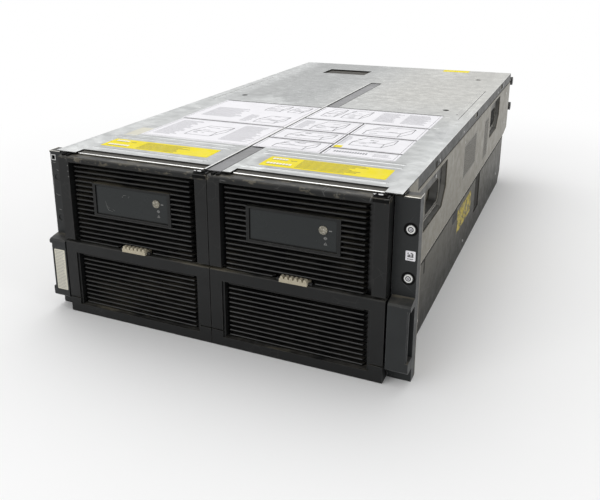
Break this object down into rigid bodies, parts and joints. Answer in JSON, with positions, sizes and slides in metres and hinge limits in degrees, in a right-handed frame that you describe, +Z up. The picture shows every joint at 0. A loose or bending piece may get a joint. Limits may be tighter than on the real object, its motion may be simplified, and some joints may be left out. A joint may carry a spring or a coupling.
{
  "type": "hard drive enclosure",
  "caption": "Rack-mount disk enclosure with two louvred pull-out drawers side by side, folding pull handles, grab handles on the ears and plug-in modules at the rear.",
  "frame": {"origin": "middle of the footprint, on the floor under the chassis", "axes": "+X to the right and +Y to the back as seen from the drawer fronts, +Z up"},
  "size_m": [0.4826, 0.926, 0.219],
  "materials": {
    "zinc": "zinc-plated sheet",
    "lid_metal": "galvanised sheet, spangled",
    "rail_steel": "rolled steel",
    "module_steel": "satin",
    "bezel_plastic": "fine moulded texture",
    "louvre_plastic": "satin moulded",
    "ear_plastic": "fine moulded texture",
    "window_slate": "smoked",
    "button_white": "satin",
    "latch_ivory": "moulded",
    "drive_metal": "drives and carriers on a dark board",
    "fan_black": "moulded",
    "lever_black": "moulded"
  },
  "bodies": {
    "chassis": {"chassis_base": "zinc", "side_panel_left": "zinc", "side_panel_right": "zinc", "hand_pocket_front_left": "zinc", "hand_pocket_front_right": "zinc", "hand_pocket_rear_left": "zinc", "hand_pocket_rear_right": "zinc", "divider_and_bulkhead": "zinc", "rack_ear_left": "zinc", "rack_ear_right": "zinc", "rear_cage": "zinc", "top_cover": "lid_metal", "outer_rail_wall_left": "rail_steel", "outer_rail_divider_left": "rail_steel", "ear_cover_left": "ear_plastic", "fan_housing_left": "fan_black", "outer_rail_wall_right": "rail_steel", "outer_rail_divider_right": "rail_steel", "ear_cover_right": "ear_plastic", "fan_housing_right": "fan_black", "power_supply_1": "module_steel", "io_module_1": "module_steel", "power_supply_2": "module_steel", "io_module_2": "module_steel", "power_supply_3": "module_steel", "io_module_3": "module_steel", "power_supply_4": "module_steel", "io_module_4": "module_steel"},
    "drawer_left": {"drawer_tray_left": "zinc", "drive_bank_left": "drive_metal", "bezel_frame_left": "bezel_plastic", "upper_grille_left": "louvre_plastic", "lower_grille_left": "louvre_plastic", "display_housing_left": "bezel_plastic", "display_window_left": "window_slate"},
    "middle_rails_left": {"middle_rail_wall_left": "rail_steel", "middle_rail_divider_left": "rail_steel"},
    "handle_left": {"pull_handle_left": "bezel_plastic"},
    "latch_left": {"release_latch_left": "latch_ivory"},
    "display_key_left": {"display_button_left": "button_white"},
    "rotor_left": {"fan_rotor_left": "fan_black"},
    "drawer_right": {"drawer_tray_right": "zinc", "drive_bank_right": "drive_metal", "bezel_frame_right": "bezel_plastic", "upper_grille_right": "louvre_plastic", "lower_grille_right": "louvre_plastic", "display_housing_right": "bezel_plastic", "display_window_right": "window_slate"},
    "middle_rails_right": {"middle_rail_wall_right": "rail_steel", "middle_rail_divider_right": "rail_steel"},
    "handle_right": {"pull_handle_right": "bezel_plastic"},
    "latch_right": {"release_latch_right": "latch_ivory"},
    "display_key_right": {"display_button_right": "button_white"},
    "rotor_right": {"fan_rotor_right": "fan_black"},
    "power_key": {"power_button": "button_white"},
    "locate_key": {"locate_button": "button_white"},
    "lever_1": {"ejector_lever_1": "lever_black"},
    "lever_2": {"ejector_lever_2": "lever_black"},
    "lever_3": {"ejector_lever_3": "lever_black"},
    "lever_4": {"ejector_lever_4": "lever_black"}
  },
  "joints": [
    {"name": "drawer_slide_left", "type": "slide", "parent": "chassis", "child": "drawer_left", "axis": [0, -1, 0], "range_m": [0, 0.59]},
    {"name": "middle_rail_slide_left", "type": "slide", "parent": "chassis", "child": "middle_rails_left", "axis": [0, -1, 0], "range_m": [0, 0.295]},
    {"name": "handle_hinge_left", "type": "hinge", "parent": "drawer_left", "child": "handle_left", "pos_m": [-0.107, -0.458, 0.0272], "axis": [1, 0, 0], "range_deg": [0, 90]},
    {"name": "latch_slide_left", "type": "slide", "parent": "drawer_left", "child": "latch_left", "axis": [-1, 0, 0], "range_m": [0, 0.004], "stiffness_N_per_m": 400},
    {"name": "display_button_left", "type": "slide", "parent": "drawer_left", "child": "display_key_left", "axis": [0, 1, 0], "range_m": [0, 0.0012], "stiffness_N_per_m": 400},
    {"name": "fan_spin_left", "type": "hinge", "parent": "chassis", "child": "rotor_left", "pos_m": [-0.0594, 0.3723, 0.16225], "axis": [0, 1, 0], "continuous": true},
    {"name": "drawer_slide_right", "type": "slide", "parent": "chassis", "child": "drawer_right", "axis": [0, -1, 0], "range_m": [0, 0.59]},
    {"name": "middle_rail_slide_right", "type": "slide", "parent": "chassis", "child": "middle_rails_right", "axis": [0, -1, 0], "range_m": [0, 0.295]},
    {"name": "handle_hinge_right", "type": "hinge", "parent": "drawer_right", "child": "handle_right", "pos_m": [0.107, -0.458, 0.0272], "axis": [1, 0, 0], "range_deg": [0, 90]},
    {"name": "latch_slide_right", "type": "slide", "parent": "drawer_right", "child": "latch_right", "axis": [-1, 0, 0], "range_m": [0, 0.004], "stiffness_N_per_m": 400},
    {"name": "display_button_right", "type": "slide", "parent": "drawer_right", "child": "display_key_right", "axis": [0, 1, 0], "range_m": [0, 0.0012], "stiffness_N_per_m": 400},
    {"name": "fan_spin_right", "type": "hinge", "parent": "chassis", "child": "rotor_right", "pos_m": [0.0594, 0.3723, 0.16225], "axis": [0, 1, 0], "continuous": true},
    {"name": "power_button", "type": "slide", "parent": "chassis", "child": "power_key", "axis": [0, 1, 0], "range_m": [0, 0.0012], "stiffness_N_per_m": 400},
    {"name": "locate_button", "type": "slide", "parent": "chassis", "child": "locate_key", "axis": [0, 1, 0], "range_m": [0, 0.0012], "stiffness_N_per_m": 400},
    {"name": "ejector_1", "type": "hinge", "parent": "chassis", "child": "lever_1", "pos_m": [-0.2163, 0.4128, 0.142], "axis": [0, 0, -1], "range_deg": [0, 75]},
    {"name": "ejector_2", "type": "hinge", "parent": "chassis", "child": "lever_2", "pos_m": [-0.2163, 0.4128, 0.19575], "axis": [0, 0, -1], "range_deg": [0, 75]},
    {"name": "ejector_3", "type": "hinge", "parent": "chassis", "child": "lever_3", "pos_m": [0.2163, 0.4128, 0.142], "axis": [0, 0, 1], "range_deg": [0, 75]},
    {"name": "ejector_4", "type": "hinge", "parent": "chassis", "child": "lever_4", "pos_m": [0.2163, 0.4128, 0.19575], "axis": [0, 0, 1], "range_deg": [0, 75]}
  ],
  "couplings": [
    {"joint": "middle_rail_slide_left", "follows": "drawer_slide_left", "ratio": 0.5},
    {"joint": "middle_rail_slide_right", "follows": "drawer_slide_right", "ratio": 0.5}
  ]
}
